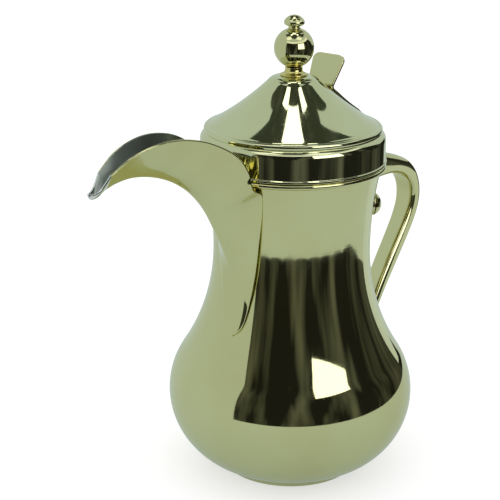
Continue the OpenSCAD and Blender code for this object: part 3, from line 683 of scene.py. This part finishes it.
# ---- lid lever: one ribbon from the thumb paddle to the hinge knuckle -------------------

SLOPE = radians(36.7)
LEVER_H, STRAP_T, STRAP_W = 2.3, 2.0, 19.0
PADDLE_H, PADDLE_W, PADDLE_LEAN, PADDLE_FOOT = 19.4, 24.4, radians(27.5), (24.9, 235.0)
LEVER_BEND, TOP_CORNER, FOLD_R, FOLD_CLEAR = 9.6, 4.6, 3.2, 6
BEND_C, BEND_R, BEND_TOP_A = (HINGE_X + KNUCKLE_R - LEVER_BEND, 203.6), LEVER_BEND - STRAP_T / 2, 62
NARROW_X, NARROW_LEN = 50, 10
off = LEVER_H - STRAP_T / 2
cone_mid = sagged((CONE[0] + off * sin(SLOPE), CONE[1] + off * cos(SLOPE)),
                  (CROWN[0] + off * sin(SLOPE), CROWN[1] + off * cos(SLOPE)), CONE_SAG, 30)
paddle_top = (PADDLE_FOOT[0] + PADDLE_H * sin(PADDLE_LEAN), PADDLE_FOOT[1] + PADDLE_H * cos(PADDLE_LEAN))
corner = (PADDLE_FOOT[0] - 0.6, PADDLE_FOOT[1] - 0.9)
down_the_cone = [p for p in cone_mid[::-1] if p[0] > corner[0] + FOLD_CLEAR]
lever_path = fillet([paddle_top, corner] + down_the_cone, FOLD_R, closed=False, n=12)
lever_path += arc(BEND_C, BEND_R, BEND_TOP_A, 0, 14) + [(BEND_C[0] + BEND_R, HINGE_Z + 1)]
path = [lever_path[0]]
for a, b in zip(lever_path, lever_path[1:]):
    # even short steps, so that the width can change along the way
    cuts = max(1, round(hypot(b[0] - a[0], b[1] - a[1]) / 0.7))
    path += [(a[0] + (b[0] - a[0]) * i / cuts, a[1] + (b[1] - a[1]) * i / cuts) for i in range(1, cuts + 1)]
rings, run = [], 0.0
for i, p in enumerate(path):
    if i:
        run += hypot(p[0] - path[i - 1][0], p[1] - path[i - 1][1])
    a, b = path[max(i - 1, 0)], path[min(i + 1, len(path) - 1)]
    n = hypot(b[0] - a[0], b[1] - a[1])
    out = ((b[1] - a[1]) / n, -(b[0] - a[0]) / n)
    half_w = PADDLE_W / 2 + (STRAP_W - PADDLE_W) / 2 * min(1, run / PADDLE_H)
    if run < TOP_CORNER:
        half_w += sqrt(max(0, TOP_CORNER ** 2 - (TOP_CORNER - run) ** 2)) - TOP_CORNER
    if run > PADDLE_H:
        half_w += (LEVER_W - STRAP_W) / 2 * max(0, min(1, (p[0] - NARROW_X) / NARROW_LEN))
    rings.append(strap_ring(p, out, STRAP_T, 2 * half_w, 0.7, 5))
bm = bmesh.new()
add_rings(bm, rings)
bore = PIN_D / 2 + PIN_PLAY
knuckle = [(r, h * LEVER_W / 2) for r, h in ((bore, -1), (KNUCKLE_R, -1), (KNUCKLE_R, 1), (bore, 1))]
add_lathe(bm, fillet(knuckle, 0.5), 64,
          Matrix.Translation((HINGE_X, 0, HINGE_Z)) @ Matrix.Rotation(pi / 2, 4, "X"))
weighted(finish("thumb_lever", bm, [gold_cast], "lid", ["lid_lever"], sharp=50))

LEVER_RIVETS_X, LEVER_GRIP = (33, 41), 4


def lever_place(x):
    """A frame on the strap's top face, square to it."""
    q = (CONE[0] - x) / (CONE[0] - CROWN[0])
    rise = LEVER_H - 4 * CONE_SAG * q * (1 - q)
    z = CONE[1] + (CROWN[1] - CONE[1]) * q
    spot = Matrix.Translation((x + sin(SLOPE) * rise, 0, z + cos(SLOPE) * rise))
    return spot @ Matrix.Rotation(SLOPE, 4, "Y")


rivets("lever_domes", [lever_place(x) for x in LEVER_RIVETS_X],
       rivet_line(0.2, 5.4, 1.3, -LEVER_GRIP, 3, 4.6, 0.8), ["lever_rivets"], "lid", 48)

# ---- finial ---------------------------------------------------------------------------

COLLAR_Z, BALL_Z, BALL_R, BALL_LOW, BALL_HIGH = LID_TOP + 0.02, 260.5, 11.7, 249.4, 271.2
BUTTON_TOP, CAP_R = 279.4, 6.8
# The collar takes the deeper yellow gold, a painted reflection of the ball above it.
lathe("finial_neck", [(STUD_R, COLLAR_Z)] + arc((7.55, COLLAR_Z + 0.55), 0.55, -90, 70, 8)
      + arc((8.0, COLLAR_Z + 3.8), 2.85, 262, 180, 12) + [(5.1, BALL_LOW), (STUD_R, BALL_LOW)],
      [gold_painted_reflection], "lid", ["finial_collar"], segments=96, round_r=0.15)
low_a = degrees(asin((BALL_LOW - BALL_Z) / BALL_R))
high_a = degrees(asin((BALL_HIGH - BALL_Z) / BALL_R))
lathe("finial_globe",
      [(STUD_R, BALL_LOW)] + arc((0, BALL_Z), BALL_R, low_a, high_a, 56) + [(STUD_R, BALL_HIGH)],
      [gold], "lid", ["finial_ball"], segments=128, round_r=0)
KNOB_BORE_TOP = 275.5
lathe("finial_knob", [(0, KNOB_BORE_TOP), (STUD_R, KNOB_BORE_TOP), (STUD_R, BALL_HIGH)]
      + arc((3.2, BALL_HIGH + 0.5), 0.5, -90, 90, 8) + [(3.1, 272.6)]
      + arc((4.2, 275.1), 1.85, -75, 35, 14) + arc((0, BUTTON_TOP - CAP_R), CAP_R, 36, 90, 16),
      [gold], "lid", ["finial_button"], segments=96, round_r=0.15)

# ---- CAD pieces that stay, with their materials ----------------------------------------

for name in ("foot_washers", "neck_washers", "finial_stud", "finial_washer", "finial_nut"):
    mesh = nodes[name].data
    mesh.materials.clear()
    mesh.materials.append(steel)
    for p in mesh.polygons:
        p.material_index = 0

# ---- stage ----------------------------------------------------------------------------


def plain(name, color, dim, share):
    """A pale stage material with a faint shadow; share of it glows, and mirrors see dim in it."""
    m = bpy.data.materials.new(name)
    m.use_nodes = True
    t = m.node_tree
    shader = t.nodes["Principled BSDF"]
    shader.inputs["Roughness"].default_value = 0.9
    shader.inputs["Specular IOR Level"].default_value = 0.0
    shader.inputs["Emission Strength"].default_value = 1.0
    ray = t.nodes.new("ShaderNodeLightPath")
    for socket, part in (("Base Color", 1 - share), ("Emission Color", share * DAYLIGHT)):
        mix = t.nodes.new("ShaderNodeMix")
        mix.data_type = "RGBA"
        mix.inputs["A"].default_value = (*[c * part for c in color], 1)
        mix.inputs["B"].default_value = (*[c * part / DAYLIGHT for c in dim], 1)
        t.links.new(ray.outputs["Is Glossy Ray"], mix.inputs["Factor"])
        t.links.new(mix.outputs["Result"], shader.inputs[socket])
    return m


def glow(name, color, strength):
    """A material that only shines."""
    m = bpy.data.materials.new(name)
    m.use_nodes = True
    t = m.node_tree
    t.nodes.clear()
    e = t.nodes.new("ShaderNodeEmission")
    e.inputs["Color"].default_value = (*color, 1)
    e.inputs["Strength"].default_value = strength
    o = t.nodes.new("ShaderNodeOutputMaterial")
    t.links.new(e.outputs["Emission"], o.inputs["Surface"])
    return m


def sheet(name, points, faces, material, mirrored_only=True):
    """A flat stage piece; by default only mirrors see it."""
    mesh = bpy.data.meshes.new(name)
    mesh.from_pydata(points, [], faces)
    mesh.materials.append(material)
    obj = bpy.data.objects.new(name, mesh)
    scene.collection.objects.link(obj)
    if mirrored_only:
        obj.visible_camera = False
        obj.visible_diffuse = False
        obj.visible_shadow = False
    return obj


REFLECT = (0.54, 0.63, 0.615)      # what mirrors see of the white surroundings
DAYLIGHT = 1.2                     # what lights the floor and fills the background
FLOOR = 30.0
sheet("floor", [(-FLOOR, -FLOOR, 0), (FLOOR, -FLOOR, 0), (FLOOR, FLOOR, 0), (-FLOOR, FLOOR, 0)],
      [(0, 1, 2, 3)], plain("floor_white", (0.95, 0.95, 0.95), REFLECT, 0.5), mirrored_only=False)

VIEW_A = radians(-140)             # the camera's direction from the pot, seen from above


def toward(angle, radius, z):
    """A point at angle degrees to the right of the camera's direction."""
    a = VIEW_A + radians(angle)
    return (radius * cos(a), radius * sin(a), z)


def screen(name, posts, z0, material, steps=8):
    """An upright screen through posts of (angle, radius, top height)."""
    line = [[p + (q - p) * i / steps for p, q in zip(a, b)]
            for a, b in zip(posts, posts[1:]) for i in range(steps)]
    line.append(posts[-1])
    n = len(line)
    pts = [toward(a, r, z0) for a, r, _ in line] + [toward(a, r, z1) for a, r, z1 in line]
    return sheet(name, pts, [(i, i + 1, n + 1 + i, n + i) for i in range(n - 1)], material)


def overhead(name, outline, z, material):
    """A level sheet; its outline is in metres towards the camera and to the camera's right."""
    c, s = cos(VIEW_A), sin(VIEW_A)
    corners = [(x * c - y * s, x * s + y * c, z) for x, y in outline]
    return sheet(name, corners, [range(len(outline))], material)


def dim_room(name, low, high):
    """Dark, with soft upright streaks, like folded cloth."""
    m = glow(name, low, 1.0)
    t = m.node_tree
    place = t.nodes.new("ShaderNodeTexCoord")
    squash = t.nodes.new("ShaderNodeMapping")
    squash.inputs["Scale"].default_value = (1, 1, 0.25)
    noise = t.nodes.new("ShaderNodeTexNoise")
    noise.inputs["Scale"].default_value = 9
    noise.inputs["Detail"].default_value = 2
    ramp = t.nodes.new("ShaderNodeMapRange")
    ramp.inputs["From Min"].default_value = 0.48
    ramp.inputs["From Max"].default_value = 0.72
    mix = t.nodes.new("ShaderNodeMix")
    mix.data_type = "RGBA"
    mix.inputs["A"].default_value = (*low, 1)
    mix.inputs["B"].default_value = (*high, 1)
    t.links.new(place.outputs["Object"], squash.inputs["Vector"])
    t.links.new(squash.outputs["Vector"], noise.inputs["Vector"])
    t.links.new(noise.outputs["Fac"], ramp.inputs["Value"])
    t.links.new(ramp.outputs["Result"], mix.inputs["Factor"])
    t.links.new(mix.outputs["Result"], t.nodes["Emission"].inputs["Color"])
    return m


WHITE = (0.95, 1.0, 1.0)
WALL_R, WALL_TOP, WALL_FOOT = 0.42, 0.50, 0.0005
dark = dim_room("screen_dark", (0.014, 0.015, 0.013), (0.12, 0.13, 0.105))
shade = dim_room("screen_shade", (0.042, 0.052, 0.04), (0.075, 0.085, 0.07))
bright = glow("softbox", WHITE, 2.3)

# A dark wall before the belly, with a window in it and a bright band over it.
screen("screen_front", [(-47, WALL_R, WALL_TOP), (92, WALL_R, WALL_TOP), (106, 0.44, WALL_TOP),
                        (125, 0.47, 0.26), (148, 0.60, 0.22)], WALL_FOOT, dark)
screen("softbox_front", [(24, 0.40, 0.46), (60, 0.40, 0.46)], 0.25, bright)
screen("softbox_band", [(-50, WALL_R, 0.60), (105, WALL_R, 0.60)], WALL_TOP + 0.002,
       glow("softbox_soft", WHITE, 1.1))
# A pale sheet beside the handle, so that its side doesn't mirror the dark wall.
sheet("softbox_handle",
      [(0.112, -0.066, 0.07), (0.148, -0.018, 0.07), (0.148, -0.018, 0.16), (0.112, -0.066, 0.16)],
      [(0, 1, 2, 3)], glow("softbox_weak", (0.60, 0.70, 0.69), 1.0))

# A dark panel over the lid, narrow at its waist, with lights just under it.
CEILING, LIGHTS_Z = 1.0, 0.99
overhead("flag_top", [(0.45, -0.12), (0.45, 0.12), (0.14, 0.25), (0.06, 0.62), (-0.48, 0.62), (-0.17, 0.38),
                      (-0.20, 0.31), (-0.43, 0.43), (-0.80, 0.57), (-0.80, -0.42), (-0.38, -0.35),
                      (-0.16, -0.29), (-0.12, -0.32), (-0.22, -0.52), (0.06, -0.52), (0.14, -0.25)],
         CEILING, shade)
overhead("softbox_top", [(0.03, -0.085), (0.03, 0.085), (-0.30, 0.085), (-0.30, -0.085)], LIGHTS_Z, bright)
for side, name in ((-1, "softbox_over_left"), (1, "softbox_over_right")):
    overhead(name, [(0.50, side * 0.15), (0.50, side * 0.60), (0.20, side * 0.60), (0.20, side * 0.24)],
             LIGHTS_Z, glow(name, WHITE, 1.3))
overhead("softbox_left", [(0.12, -0.20), (0.12, -0.09), (0.0, -0.09), (0.0, -0.20)], LIGHTS_Z, bright)
overhead("softbox_right", [(0.10, 0.14), (0.10, 0.24), (-0.03, 0.24), (-0.03, 0.14)], LIGHTS_Z, bright)

world = bpy.data.worlds.new("studio")
scene.world = world
world.use_nodes = True
t = world.node_tree
back = t.nodes["Background"]
ray = t.nodes.new("ShaderNodeLightPath")
mix = t.nodes.new("ShaderNodeMix")
mix.data_type = "RGBA"
mix.inputs["A"].default_value = (DAYLIGHT, DAYLIGHT, DAYLIGHT, 1)
mix.inputs["B"].default_value = (*REFLECT, 1)
t.links.new(ray.outputs["Is Glossy Ray"], mix.inputs["Factor"])
t.links.new(mix.outputs["Result"], back.inputs["Color"])

scene.view_settings.view_transform = "Standard"

# ---- camera ---------------------------------------------------------------------------

CAM_DIST, CAM_HEIGHT, CAM_AIM = 784.0, 399.12, 137.07
CAM_PAN, CAM_ROLL = -0.03036, 0.01275
LENS, SENSOR = 98.35, 36.0
ex = Vector((cos(VIEW_A), sin(VIEW_A), 0))
ey = Vector((-sin(VIEW_A), cos(VIEW_A), 0))
ez = Vector((0, 0, 1))
spot = ex * CAM_DIST + ez * CAM_HEIGHT
fwd = (ez * CAM_AIM - spot).normalized()
up = ey.cross(fwd)
f2 = fwd * cos(CAM_PAN) + ey * sin(CAM_PAN)
r2 = ey * cos(CAM_PAN) - fwd * sin(CAM_PAN)
r3 = r2 * cos(CAM_ROLL) + up * sin(CAM_ROLL)
u3 = up * cos(CAM_ROLL) - r2 * sin(CAM_ROLL)
cam = bpy.data.cameras.new("camera")
cam.lens = LENS
cam.sensor_width = SENSOR
cam.clip_end = 100
camera = bpy.data.objects.new("camera", cam)
scene.collection.objects.link(camera)
turn = Matrix((r3, u3, -f2)).transposed().to_4x4()
camera.matrix_world = Matrix.Translation(spot * MM) @ turn
scene.camera = camera
